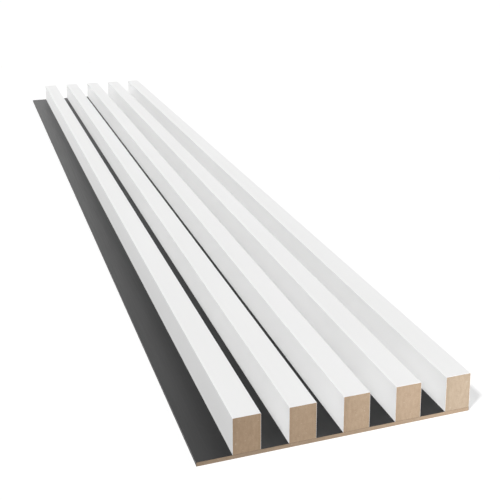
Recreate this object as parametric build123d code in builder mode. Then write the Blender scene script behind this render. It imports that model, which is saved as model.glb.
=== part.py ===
from build123d import *
import os

# Slatted wall panel: film-wrapped fibreboard slats glued side by side on a thin film-wrapped board.
# Millimetres. X runs across the panel, Y along the slats, and Z up from the board's back face.
# The origin is the middle of the back face. The panel lies on that face with its slats up.

# Panel
panel_length = 1200.0
panel_width = 206.0
bare_margin = 25.0  # uncovered strip of board beside the first slat

# Board: its thickness includes the black film on its upper face
board_thickness = 3.0
board_film_thickness = 0.1
board_film_trim = 0.3  # the film is trimmed this far above the back face, so it never meets the wall
board_core_radius = 0.3  # eased upper long edges of the bare board, under the film

# Slats: their width and height include the white film on their three open sides
slat_count = 5
slat_width = 20.0
slat_height = 27.0
slat_film_thickness = 0.15
slat_core_radius = 0.2  # eased upper long edges of the bare slat, under the film

# Bare fibreboard inside the films
board_core_width = panel_width - 2 * board_film_thickness
board_core_thickness = board_thickness - board_film_thickness
slat_core_width = slat_width - 2 * slat_film_thickness
slat_core_height = slat_height - slat_film_thickness

# The last slat is flush with the board's right edge, and the others share out the rest evenly
first_slat_x = -panel_width / 2 + bare_margin + slat_width / 2
slat_pitch = (panel_width - bare_margin - slat_width) / (slat_count - 1)


def section_plane(x, z):
    """Upright plane across the panel at mid length, with its origin at x, z and its own Y axis up."""
    return Plane(origin=(x, 0, z), x_dir=(1, 0, 0), z_dir=(0, -1, 0))


def eased_section(width, height, radius):
    """Flat-footed section, standing on its plane's origin, with its two upper corners rounded."""
    with BuildSketch() as section:
        Rectangle(width, height, align=(Align.CENTER, Align.MIN))
        fillet(section.vertices().group_by(Axis.Y)[-1], radius)
    return section.sketch


def board_core_section():
    return eased_section(board_core_width, board_core_thickness, board_core_radius)


def slat_core_section():
    return eased_section(slat_core_width, slat_core_height, slat_core_radius)


# Bare board, sawn square at both ends
with BuildPart() as backing_board:
    with BuildSketch(section_plane(0, 0)):
        add(board_core_section())
    extrude(amount=panel_length / 2, both=True)
backing_board.part.label = "backing_board"

# Black film over the board's upper face and down its two long edges, sawn off with the board at the ends
with BuildPart() as board_wrap:
    with BuildSketch(section_plane(0, 0)):
        add(eased_section(panel_width, board_thickness, board_core_radius + board_film_thickness))
        add(board_core_section(), mode=Mode.SUBTRACT)
        Rectangle(panel_width, board_film_trim, align=(Align.CENTER, Align.MIN), mode=Mode.SUBTRACT)
    extrude(amount=panel_length / 2, both=True)
board_wrap.part.label = "board_wrap"

pieces = [backing_board.part, board_wrap.part]

for number in range(1, slat_count + 1):
    slat_foot = section_plane(first_slat_x + (number - 1) * slat_pitch, board_thickness)

    # Bare slat, glued by its foot to the black film
    with BuildPart() as slat_core:
        with BuildSketch(slat_foot):
            add(slat_core_section())
        extrude(amount=panel_length / 2, both=True)
    slat_core.part.label = f"slat_core_{number}"

    # White film over the slat's top and two sides, of one thickness round the eased edges
    with BuildPart() as slat_wrap:
        with BuildSketch(slat_foot):
            add(eased_section(slat_width, slat_height, slat_core_radius + slat_film_thickness))
            add(slat_core_section(), mode=Mode.SUBTRACT)
        extrude(amount=panel_length / 2, both=True)
    slat_wrap.part.label = f"slat_wrap_{number}"

    pieces += [slat_core.part, slat_wrap.part]

os.makedirs("parts", exist_ok=True)
for piece in pieces:
    export_step(piece, f"parts/{piece.label}.step")
    size = piece.bounding_box().size
    print(f"{piece.label}: {size.X:.2f} x {size.Y:.2f} x {size.Z:.2f} mm, {piece.volume / 1000:.2f} cm3")
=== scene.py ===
from math import cos, pi, radians, sin

import bpy
from mathutils import Euler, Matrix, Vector


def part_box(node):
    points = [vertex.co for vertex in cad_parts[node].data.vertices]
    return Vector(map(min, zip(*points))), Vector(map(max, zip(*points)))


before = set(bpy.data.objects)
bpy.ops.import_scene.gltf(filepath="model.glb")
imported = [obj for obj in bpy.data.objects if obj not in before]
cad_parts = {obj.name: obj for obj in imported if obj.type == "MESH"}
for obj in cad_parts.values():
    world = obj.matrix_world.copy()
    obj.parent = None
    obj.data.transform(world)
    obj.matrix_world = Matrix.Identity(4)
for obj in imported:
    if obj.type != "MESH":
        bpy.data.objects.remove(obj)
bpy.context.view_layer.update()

MM = 0.001
SLATS = range(1, 6)
LEFT, RIGHT = -1, 1

# Camera: left of the panel's front end, looking down along it. The shift stands for part of the view's
# parallel uprights.
CAMERA_PLACE = (-0.2322, -1.0909, 0.3543)
CAMERA_TURN_DEG = 18.729
CAMERA_TILT_DEG = 12.061
CAMERA_LENS_MM = 62.445
CAMERA_SHIFT = -0.3

# Light: a broad key high on the left that reaches down into the channels, a weaker one on the right, a level
# one for the right side, low strips before the sawn ends and far along the left side, two boxes behind the
# panel that light nothing and only show as sheen in the films, and a faint surround.
# A height angle is measured in the panel's cross-section, and "along" leans the light lengthwise.
SURROUND_STRENGTH = 0.05
KEY_HEIGHT_DEG, KEY_ALONG, KEY_ANGLE_DEG, KEY_STRENGTH = 54, -0.4, 8, 3.42
FILL_HEIGHT_DEG, FILL_ALONG, FILL_ANGLE_DEG, FILL_STRENGTH = 30, -0.5, 20, 0.45
LEVEL_HEIGHT_DEG, LEVEL_ALONG, LEVEL_ANGLE_DEG, LEVEL_STRENGTH = 2, 0.0, 6, 1.4
FRONT_STRIP_PLACE, FRONT_STRIP_AIM = (0.125, -0.78, 0.03), (0.125, -0.6, 0.015)
FRONT_STRIP_SIZE, FRONT_STRIP_WATTS = (0.15, 0.05), 0.34
BACK_STRIP_PLACE, BACK_STRIP_AIM = (0.0, 1.0, 0.015), (0.0, 0.6, 0.015)
BACK_STRIP_SIZE, BACK_STRIP_WATTS = (0.3, 0.03), 1.5
SIDE_STRIP_PLACE, SIDE_STRIP_AIM = (-0.8, 0.65, 0.015), (-0.08, 0.4, 0.015)
SIDE_STRIP_SIZE, SIDE_STRIP_WATTS = (0.8, 0.03), 1.2
LOW_SHEEN_PLACE, LOW_SHEEN_SIZE, LOW_SHEEN_WATTS = (0.48, 2.74, 1.12), (2.0, 1.8), 4.5
HIGH_SHEEN_PLACE, HIGH_SHEEN_SIZE, HIGH_SHEEN_WATTS = (0.4, 2.2, 2.0), (2.0, 1.4), 6.5
SHEEN_AIM = (0.0, 0.0, 0.0)

# Floor: its colour for the light that it sends back, and the colour and glow with which it shows as white
FLOOR_SIZE = 16.0
FLOOR_DROP = 0.1 * MM
FLOOR_COLOUR = (0.15, 0.15, 0.15)
FLOOR_SEEN_COLOUR = (0.5, 0.5, 0.5)
FLOOR_SEEN_LIFT = 0.56

# Range in which nearly all of a noise texture's values lie
USUAL_NOISE = (0.3, 0.7)

# White film. Sizes are a blotch's lengths along X, Y and Z, and depths are the relief's height.
WHITE_COLOURS = (0.89, 0.89, 0.887), (0.91, 0.91, 0.908)
WHITE_ROUGHNESS, WHITE_GLOSS = (0.56, 0.64), 0.03
WHITE_CLOUD_MM = (45, 160, 45)
DRAWN_LINE_MM, DRAWN_LINE_DEPTH_MM = (0.7, 180, 0.7), 0.003
PEEL_MM, PEEL_DEPTH_MM = (1.8, 2.6, 1.8), 0.015
PORE_MM, PORE_DEPTH_MM = (0.25, 0.25, 0.25), 0.003

# Black film
BLACK_COLOURS = (0.009, 0.009, 0.0092), (0.011, 0.011, 0.0112)
BLACK_ROUGHNESS, BLACK_GLOSS = (0.39, 0.45), 0.23
BLACK_CLOUD_MM = (30, 90, 30)
STREAK_MM, STREAK_DEPTH_MM = (0.9, 60, 0.9), 0.001
TOOTH_MM, TOOTH_DEPTH_MM = (0.3, 0.3, 0.3), 0.003

# Raw fibreboard, as it shows where it is sawn. Mottling, specks and bundles are some times a fibre's size.
FIBRE_DARK, FIBRE_MIDDLE, FIBRE_PALE = (0.335, 0.242, 0.163), (0.405, 0.298, 0.207), (0.475, 0.36, 0.258)
SPECK_COLOUR, BUNDLE_COLOUR = (0.2, 0.135, 0.085), (0.6, 0.5, 0.39)
TONE_MARKS = (0.32, 0.5, 0.68)
FIBRE_SHARE, MOTTLE_SHARE, PATCH_SHARE, SKIN_SHARE = 0.42, 0.38, 0.20, 0.06
RAW_ROUGHNESS, RAW_GLOSS = (0.72, 0.86), 0.3
SLAT_FIBRE_MM, BOARD_FIBRE_MM, FIBRE_DEPTH_MM = (0.4, 1.0, 1.0), (1.0, 1.0, 0.35), 0.05
MOTTLE_TIMES, PATCH_MM = 5, (38, 400, 38)
SPECK_TIMES, SPECK_RANGE, SPECK_STRENGTH = 1.6, (0.66, 0.76), 0.55
BUNDLE_TIMES, BUNDLE_RANGE, BUNDLE_STRENGTH = 2.2, (0.68, 0.76), 0.6
SLAT_LIFT, BOARD_SHADE = 1.12, 0.92
# Part of the way from a board's middle to its pressed face at which it starts to get denser
SLAT_SKIN_START, BOARD_SKIN_START = 0.55, 0.4
# Painted sheen: each slat gets a tint of its own, greyer and bluer from the left slat to the right one,
# standing for a pale sheen on the sawn ends that grows to the right
SLAT_TINTS = (
    (0.9, 0.87, 0.83),
    (0.9, 0.885, 0.86),
    (0.9, 0.895, 0.88),
    (0.885, 0.885, 0.885),
    (0.905, 0.955, 1.0),
)

# Sawn ends: how far along Y a face has to point to count as one, and the arcs of the saw blade on it
SAWN_FACING = 0.5
SAW_CENTRE_MM, SAW_LINE_MM = (150.0, 0.0, -90.0), 1.1
SAW_LINE_DEPTH_MM, SAW_LINE_SHADE = 0.02, (0.96, 0.96, 0.96)
SAW_WANDER_MM, SAW_WANDER_LINES = (14, 14, 14), 2.0
SAW_PATCH_MM, SAW_PATCH_DEPTHS = (9, 9, 9), (0.2, 1.0)


def add(tree, kind, settings=None, **inputs):
    """A new node with its properties set, and with each named input given a value or linked to a socket."""
    node = tree.nodes.new(kind)
    for name, value in (settings or {}).items():
        setattr(node, name, value)
    for name, value in inputs.items():
        plug(tree, node.inputs[name.replace("_", " ")], value)
    return node


def plug(tree, socket, value):
    """Sets an input to a value, or links it to another node's output."""
    if isinstance(value, bpy.types.NodeSocket):
        tree.links.new(value, socket)
    else:
        socket.default_value = value


def calc(tree, operation, *values):
    """The result of one sum on values or sockets."""
    node = add(tree, "ShaderNodeMath", {"operation": operation})
    for socket, value in zip(node.inputs, values):
        plug(tree, socket, value)
    return node.outputs[0]


def vector_calc(tree, operation, first, second):
    """The node that does one sum on two vectors."""
    node = add(tree, "ShaderNodeVectorMath", {"operation": operation})
    plug(tree, node.inputs[0], first)
    plug(tree, node.inputs[1], second)
    return node


def place_mm(tree):
    """Where a point is in the panel's own frame, in millimetres."""
    place = add(tree, "ShaderNodeTexCoord").outputs["Object"]
    scaled = add(tree, "ShaderNodeVectorMath", {"operation": "SCALE"}, Vector=place, Scale=1 / MM)
    return scaled.outputs[0]


def axes(tree, vector):
    """The X, Y and Z of a vector."""
    return add(tree, "ShaderNodeSeparateXYZ", Vector=vector).outputs


def grain(tree, size_mm, detail=2, roughness=0.5):
    """Noise about 0.5 whose blotches measure size_mm along X, Y and Z of the panel's frame."""
    scaled = vector_calc(tree, "DIVIDE", place_mm(tree), size_mm)
    noise = add(tree, "ShaderNodeTexNoise", Vector=scaled.outputs[0], Scale=1.0, Detail=detail,
                Roughness=roughness)
    return noise.outputs["Fac"]


def times(factor, values):
    """Sizes, or a colour's three parts, each times a factor."""
    return [factor * value for value in values]


def spread(tree, factor, low, high, source=USUAL_NOISE):
    """A factor brought from its usual range to low and high, and held there beyond it."""
    node = add(tree, "ShaderNodeMapRange", Value=factor, From_Min=source[0], From_Max=source[1],
               To_Min=low, To_Max=high)
    return node.outputs["Result"]


def ramp(tree, factor, places, colours, kind="LINEAR"):
    """Colours at places along a factor: blended, or in CONSTANT steps."""
    node = add(tree, "ShaderNodeValToRGB", Fac=factor)
    node.color_ramp.interpolation = kind
    marks = node.color_ramp.elements
    for mark, place in zip(marks, (places[0], places[-1])):
        mark.position = place
    for place in places[1:-1]:
        marks.new(place)
    for mark, colour in zip(marks, colours):
        mark.color = (*colour, 1.0)
    return node.outputs["Color"]


def blend(tree, factor, first, second, kind="MIX"):
    """Two colours mixed by a factor."""
    node = add(tree, "ShaderNodeMix", {"data_type": "RGBA", "blend_type": kind})
    sockets = [socket for socket in node.inputs if socket.enabled]
    for socket, value in zip(sockets, (factor, first, second)):
        ready = isinstance(value, (bpy.types.NodeSocket, float))
        plug(tree, socket, value if ready else (*value, 1.0))
    return next(socket for socket in node.outputs if socket.enabled)


def bump(tree, height, depth_mm, below=None):
    """Relief whose height runs from 0 to 1 over depth_mm, on top of another relief's normal."""
    node = add(tree, "ShaderNodeBump", Height=height, Strength=1.0, Distance=depth_mm * MM)
    if below is not None:
        plug(tree, node.inputs["Normal"], below)
    return node.outputs["Normal"]


def empty_tree(owner):
    """The cleared node tree of a material or a world."""
    owner.use_nodes = True
    owner.node_tree.nodes.clear()
    return owner.node_tree


def new_material(name):
    """A material with one shader, whose inputs are still at their defaults."""
    material = bpy.data.materials.new(name)
    tree = empty_tree(material)
    shader = add(tree, "ShaderNodeBsdfPrincipled")
    add(tree, "ShaderNodeOutputMaterial", Surface=shader.outputs[0])
    return material, tree, shader


def finish_shader(tree, shader, colour, roughness, gloss, normal):
    """Gives a shader its look."""
    plug(tree, shader.inputs["Base Color"], colour)
    plug(tree, shader.inputs["Roughness"], roughness)
    shader.inputs["Specular IOR Level"].default_value = gloss
    plug(tree, shader.inputs["Normal"], normal)


def white_film():
    """Smooth white film with a low sheen: faint drawing lines along the slat, orange peel and fine pores."""
    material, tree, shader = new_material("white_film")
    cloud = grain(tree, WHITE_CLOUD_MM, detail=3)
    line = grain(tree, DRAWN_LINE_MM)
    peel = grain(tree, PEEL_MM)
    pores = grain(tree, PORE_MM, detail=1)
    normal = bump(tree, line, DRAWN_LINE_DEPTH_MM)
    normal = bump(tree, peel, PEEL_DEPTH_MM, normal)
    normal = bump(tree, pores, PORE_DEPTH_MM, normal)
    colour = ramp(tree, cloud, USUAL_NOISE, WHITE_COLOURS)
    finish_shader(tree, shader, colour, spread(tree, peel, *WHITE_ROUGHNESS), WHITE_GLOSS, normal)
    return material


def black_film():
    """Satin black film with a fine tooth and faint marks along its rolling direction."""
    material, tree, shader = new_material("black_film")
    cloud = grain(tree, BLACK_CLOUD_MM, detail=3)
    streak = grain(tree, STREAK_MM, detail=3)
    tooth = grain(tree, TOOTH_MM)
    normal = bump(tree, tooth, TOOTH_DEPTH_MM, bump(tree, streak, STREAK_DEPTH_MM))
    colour = ramp(tree, cloud, USUAL_NOISE, BLACK_COLOURS)
    finish_shader(tree, shader, colour, spread(tree, streak, *BLACK_ROUGHNESS), BLACK_GLOSS, normal)
    return material


def end_grain(tree):
    """1 on the sawn ends and 0 on the board's flat back."""
    facing = axes(tree, add(tree, "ShaderNodeNewGeometry").outputs["True Normal"])["Y"]
    return calc(tree, "GREATER_THAN", calc(tree, "ABSOLUTE", facing), SAWN_FACING)


def saw_lines(tree):
    """Shallow arcs that a circular blade leaves across the sawn ends, uneven in depth."""
    flat = vector_calc(tree, "MULTIPLY", place_mm(tree), (1, 0, 1))
    reach = vector_calc(tree, "DISTANCE", flat.outputs[0], SAW_CENTRE_MM).outputs["Value"]
    wander = calc(tree, "MULTIPLY", grain(tree, SAW_WANDER_MM), SAW_WANDER_LINES)
    turns = calc(tree, "ADD", calc(tree, "MULTIPLY", reach, 2 * pi / SAW_LINE_MM),
                 calc(tree, "MULTIPLY", wander, 2 * pi))
    wave = spread(tree, calc(tree, "SINE", turns), 0.0, 1.0, source=(-1, 1))
    depth = spread(tree, grain(tree, SAW_PATCH_MM), *SAW_PATCH_DEPTHS)
    return calc(tree, "MULTIPLY", calc(tree, "MULTIPLY", wave, depth), end_grain(tree))


def raw_fibreboard(name, fibre_mm, skin, shade, sheen_tint_of=None):
    """Fibreboard: fibres in the board's own plane, mottling, bark specks, pale fibre bundles and saw lines.

    skin is 1 at the board's two pressed faces and 0 in its middle, and the board is denser and darker there.
    shade scales all the colours, and the last argument gives each piece a tint of its own, which is painted
    sheen.
    """
    material, tree, shader = new_material(name)
    fibre = grain(tree, fibre_mm, detail=4, roughness=0.65)
    mottle = grain(tree, times(MOTTLE_TIMES, fibre_mm), detail=3)
    patch = grain(tree, PATCH_MM, detail=0)
    tone = calc(tree, "MULTIPLY", skin(tree), -SKIN_SHARE)
    for part, share in ((fibre, FIBRE_SHARE), (mottle, MOTTLE_SHARE), (patch, PATCH_SHARE)):
        tone = calc(tree, "ADD", tone, calc(tree, "MULTIPLY", part, share))
    dark, middle, pale, bark, straw = [
        times(shade, colour)
        for colour in (FIBRE_DARK, FIBRE_MIDDLE, FIBRE_PALE, SPECK_COLOUR, BUNDLE_COLOUR)
    ]
    colour = ramp(tree, tone, TONE_MARKS, (dark, middle, pale))
    specks = grain(tree, times(SPECK_TIMES, fibre_mm), detail=1)
    colour = blend(tree, spread(tree, specks, 0.0, SPECK_STRENGTH, SPECK_RANGE), colour, bark)
    bundles = grain(tree, times(BUNDLE_TIMES, fibre_mm[::-1]))
    colour = blend(tree, spread(tree, bundles, 0.0, BUNDLE_STRENGTH, BUNDLE_RANGE), colour, straw)
    lines = saw_lines(tree)
    colour = blend(tree, 1.0, colour, ramp(tree, lines, (0.0, 1.0), ((1, 1, 1), SAW_LINE_SHADE)), "MULTIPLY")
    # Painted sheen: a tint per piece, which for the slats grows greyer towards the right
    if sheen_tint_of:
        colour = blend(tree, 1.0, colour, sheen_tint_of(tree), "MULTIPLY")
    normal = bump(tree, lines, SAW_LINE_DEPTH_MM, bump(tree, fibre, FIBRE_DEPTH_MM))
    finish_shader(tree, shader, colour, spread(tree, fibre, *RAW_ROUGHNESS), RAW_GLOSS, normal)
    return material


def slat_skin(tree):
    """The slats are cut from a thick board that stood on edge: its pressed faces are their two sides."""
    low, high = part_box("slat_core_1")
    next_low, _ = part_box("slat_core_2")
    middle, half = (low[0] + high[0]) / 2 / MM, (high[0] - low[0]) / 2 / MM
    pitch = (next_low[0] - low[0]) / MM
    across = calc(tree, "WRAP", axes(tree, place_mm(tree))["X"], middle + pitch / 2, middle - pitch / 2)
    off = calc(tree, "ABSOLUTE", calc(tree, "SUBTRACT", across, middle))
    return spread(tree, off, 0.0, 1.0, source=(SLAT_SKIN_START * half, half))


def slat_painted_sheen(tree):
    """Painted sheen: each slat's tint, greyer and bluer towards the right, in steps across the panel that
    change in the gaps.
    """
    first_low, first_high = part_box("slat_core_1")
    last_low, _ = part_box(f"slat_core_{len(SLAT_TINTS)}")
    pitch = (last_low[0] - first_low[0]) / (len(SLAT_TINTS) - 1) / MM
    start = (first_low[0] + first_high[0]) / 2 / MM - pitch / 2
    end = start + pitch * len(SLAT_TINTS)
    across = spread(tree, axes(tree, place_mm(tree))["X"], 0.0, 1.0, source=(start, end))
    places = [number / len(SLAT_TINTS) for number in range(len(SLAT_TINTS))]
    return ramp(tree, across, places, SLAT_TINTS, "CONSTANT")


def board_skin(tree):
    """The thin board's pressed faces are its back and the face under the black film."""
    low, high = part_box("backing_board")
    middle, half = (low[2] + high[2]) / 2 / MM, (high[2] - low[2]) / 2 / MM
    off = calc(tree, "ABSOLUTE", calc(tree, "SUBTRACT", axes(tree, place_mm(tree))["Z"], middle))
    return spread(tree, off, 0.0, 1.0, source=(BOARD_SKIN_START * half, half))


def dress(node_names, material):
    """Gives CAD nodes their finished material."""
    for name in node_names:
        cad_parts[name].material_slots[0].material = material


def seen_ray(tree):
    """1 for rays from the camera, and for those that show the surroundings in gloss or glass."""
    path = add(tree, "ShaderNodeLightPath").outputs
    direct = calc(tree, "MAXIMUM", path["Is Camera Ray"], path["Is Glossy Ray"])
    return calc(tree, "MAXIMUM", direct, path["Is Transmission Ray"])


def either(tree, factor, first, second):
    """One shader where the factor is 0, the other where it is 1."""
    node = add(tree, "ShaderNodeMixShader", Fac=factor)
    plug(tree, node.inputs[1], first.outputs[0])
    plug(tree, node.inputs[2], second.outputs[0])
    return node.outputs[0]


def white_world():
    """Faint even light, and a plain white background where it is seen."""
    world = bpy.data.worlds.new("surround")
    bpy.context.scene.world = world
    tree = empty_tree(world)
    light = add(tree, "ShaderNodeBackground", Color=(1, 1, 1, 1), Strength=SURROUND_STRENGTH)
    seen = add(tree, "ShaderNodeBackground", Color=(1, 1, 1, 1), Strength=1.0)
    add(tree, "ShaderNodeOutputWorld", Surface=either(tree, seen_ray(tree), light, seen))


def floor():
    """Floor under the panel. It shows white, with the panel's shadow kept."""
    half = FLOOR_SIZE / 2
    corners = [(-half, -half, 0), (half, -half, 0), (half, half, 0), (-half, half, 0)]
    mesh = bpy.data.meshes.new("floor")
    mesh.from_pydata(corners, [], [(0, 1, 2, 3)])
    plane = bpy.data.objects.new("floor", mesh)
    plane.location.z = -FLOOR_DROP
    bpy.context.scene.collection.objects.link(plane)

    material = bpy.data.materials.new("floor")
    tree = empty_tree(material)
    plain = add(tree, "ShaderNodeBsdfDiffuse", Color=(*FLOOR_COLOUR, 1))
    shown = add(tree, "ShaderNodeBsdfDiffuse", Color=(*FLOOR_SEEN_COLOUR, 1))
    lift = add(tree, "ShaderNodeEmission", Strength=FLOOR_SEEN_LIFT)
    seen = add(tree, "ShaderNodeAddShader")
    plug(tree, seen.inputs[0], shown.outputs[0])
    plug(tree, seen.inputs[1], lift.outputs[0])
    add(tree, "ShaderNodeOutputMaterial", Surface=either(tree, seen_ray(tree), plain, seen))
    mesh.materials.append(material)


def hang(lamp, place, towards):
    """Puts a lamp at a place, shining along a direction, unseen by the camera."""
    holder = bpy.data.objects.new(lamp.name, lamp)
    holder.location = place
    holder.rotation_euler = Vector(towards).to_track_quat("-Z", "Y").to_euler()
    holder.visible_camera = False
    bpy.context.scene.collection.objects.link(holder)
    return holder


def soft_box(name, place, aim, size, watts):
    """A rectangular lamp at a place that faces a point."""
    lamp = bpy.data.lights.new(name, "AREA")
    lamp.shape = "RECTANGLE"
    lamp.size, lamp.size_y = size
    lamp.energy = watts
    return hang(lamp, place, Vector(aim) - Vector(place))


def broad_light(name, side, height_deg, along, angle_deg, strength):
    """Soft light from far away on one side of the panel."""
    lamp = bpy.data.lights.new(name, "SUN")
    lamp.angle = radians(angle_deg)
    lamp.energy = strength
    source = Vector((side * cos(radians(height_deg)), along, sin(radians(height_deg))))
    hang(lamp, source, -source)


def lamps():
    """All the lamps. The back and side strips don't glare in gloss, and the sheen boxes show only there."""
    broad_light("key", LEFT, KEY_HEIGHT_DEG, KEY_ALONG, KEY_ANGLE_DEG, KEY_STRENGTH)
    broad_light("fill", RIGHT, FILL_HEIGHT_DEG, FILL_ALONG, FILL_ANGLE_DEG, FILL_STRENGTH)
    broad_light("level", RIGHT, LEVEL_HEIGHT_DEG, LEVEL_ALONG, LEVEL_ANGLE_DEG, LEVEL_STRENGTH)
    soft_box("front_strip", FRONT_STRIP_PLACE, FRONT_STRIP_AIM, FRONT_STRIP_SIZE, FRONT_STRIP_WATTS)
    back_strip = soft_box("back_strip", BACK_STRIP_PLACE, BACK_STRIP_AIM, BACK_STRIP_SIZE, BACK_STRIP_WATTS)
    side_strip = soft_box("side_strip", SIDE_STRIP_PLACE, SIDE_STRIP_AIM, SIDE_STRIP_SIZE, SIDE_STRIP_WATTS)
    for strip in (back_strip, side_strip):
        strip.visible_glossy = False
    low_sheen = soft_box("low_sheen", LOW_SHEEN_PLACE, SHEEN_AIM, LOW_SHEEN_SIZE, LOW_SHEEN_WATTS)
    high_sheen = soft_box("high_sheen", HIGH_SHEEN_PLACE, SHEEN_AIM, HIGH_SHEEN_SIZE, HIGH_SHEEN_WATTS)
    for box in (low_sheen, high_sheen):
        box.visible_diffuse = False


def camera():
    """The photograph's view."""
    lens = bpy.data.cameras.new("camera")
    lens.lens = CAMERA_LENS_MM
    lens.shift_y = CAMERA_SHIFT
    holder = bpy.data.objects.new("camera", lens)
    holder.location = CAMERA_PLACE
    holder.rotation_euler = Euler((radians(90 - CAMERA_TILT_DEG), 0, radians(-CAMERA_TURN_DEG)))
    bpy.context.scene.collection.objects.link(holder)
    bpy.context.scene.camera = holder


dress([f"slat_wrap_{n}" for n in SLATS], white_film())
dress(["board_wrap"], black_film())
# The slats' ends get painted sheen, a tint per slat that grows greyer towards the right
raw_slat = raw_fibreboard("raw_slat", SLAT_FIBRE_MM, slat_skin, SLAT_LIFT, slat_painted_sheen)
dress([f"slat_core_{n}" for n in SLATS], raw_slat)
raw_board = raw_fibreboard("raw_board", BOARD_FIBRE_MM, board_skin, BOARD_SHADE)
dress(["backing_board"], raw_board)

white_world()
floor()
lamps()
camera()
bpy.context.scene.view_settings.view_transform = "Standard"
